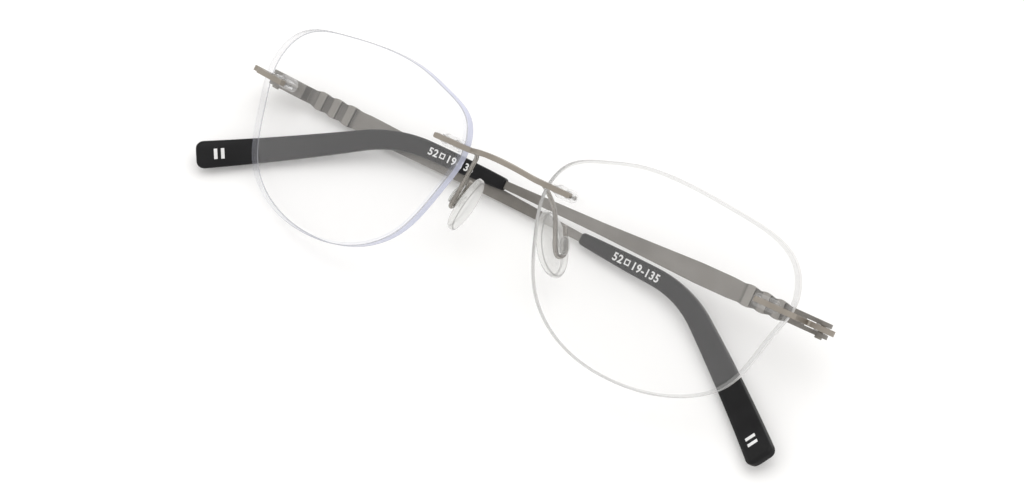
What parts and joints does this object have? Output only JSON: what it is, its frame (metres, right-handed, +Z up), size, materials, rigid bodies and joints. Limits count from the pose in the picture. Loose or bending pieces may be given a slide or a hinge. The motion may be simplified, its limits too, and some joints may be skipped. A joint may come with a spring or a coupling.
{
  "type": "rimless eyeglasses",
  "caption": "Rimless eyeglasses with drilled clear lenses, a thin arched metal bridge, wire pad arms, folding metal temples and black ear tips.",
  "frame": {"origin": "middle of the footprint, on the surface that the folded glasses lie on", "axes": "+X towards the wearer's left, +Y towards the brow side of the lenses, +Z up from the surface, with the lens fronts facing up and towards -Y"},
  "size_m": [0.1352, 0.033, 0.0321],
  "materials": {
    "lens": "clear, polished, with a thin grey-blue edge",
    "front_metal": "warm grey satin titanium",
    "temple_metal": "warm grey satin titanium",
    "hinge_metal": "plain satin metal",
    "wire": "drawn wire, satin",
    "bushing_plastic": "clear moulded plastic",
    "pad_plastic": "clear moulded plastic",
    "tip_plastic": "black, smooth satin"
  },
  "bodies": {
    "front": {"lens_right": "lens", "lens_left": "lens", "bridge_bar": "front_metal", "bridge_pins_right": "front_metal", "bridge_pins_left": "front_metal", "nasal_bushing_right": "bushing_plastic", "nasal_bushing_left": "bushing_plastic", "pad_arm_right": "wire", "pad_arm_left": "wire", "endpiece_right": "front_metal", "endpiece_left": "front_metal", "endpiece_pins_right": "front_metal", "endpiece_pins_left": "front_metal", "temporal_bushing_right": "bushing_plastic", "temporal_bushing_left": "bushing_plastic"},
    "temple_right": {"temple_right": "temple_metal", "temple_tip_right": "tip_plastic", "hinge_screw_right": "hinge_metal", "hinge_washers_right": "hinge_metal"},
    "temple_left": {"temple_left": "temple_metal", "temple_tip_left": "tip_plastic", "hinge_screw_left": "hinge_metal", "hinge_washers_left": "hinge_metal"},
    "nose_pad_right": {"nose_pad_right": "pad_plastic"},
    "nose_pad_left": {"nose_pad_left": "pad_plastic"}
  },
  "joints": [
    {"name": "hinge_right", "type": "hinge", "parent": "front", "child": "temple_right", "pos_m": [-0.06299, 0.01196, 0.00425], "axis": [0.0177, 0.8533, 0.5211], "range_deg": [0, 92]},
    {"name": "hinge_left", "type": "hinge", "parent": "front", "child": "temple_left", "pos_m": [0.06321, 0.01196, 0.01134], "axis": [0.0326, -0.8542, -0.5189], "range_deg": [0, 95]},
    {"name": "pad_tilt_right", "type": "hinge", "parent": "front", "child": "nose_pad_right", "pos_m": [-0.01193, 0.00273, 0.01046], "axis": [-0.2877, -0.5787, -0.7631], "range_deg": [-8, 8]},
    {"name": "pad_tilt_left", "type": "hinge", "parent": "front", "child": "nose_pad_left", "pos_m": [0.01177, 0.00273, 0.01179], "axis": [-0.3714, 0.5787, 0.7261], "range_deg": [-8, 8]}
  ]
}
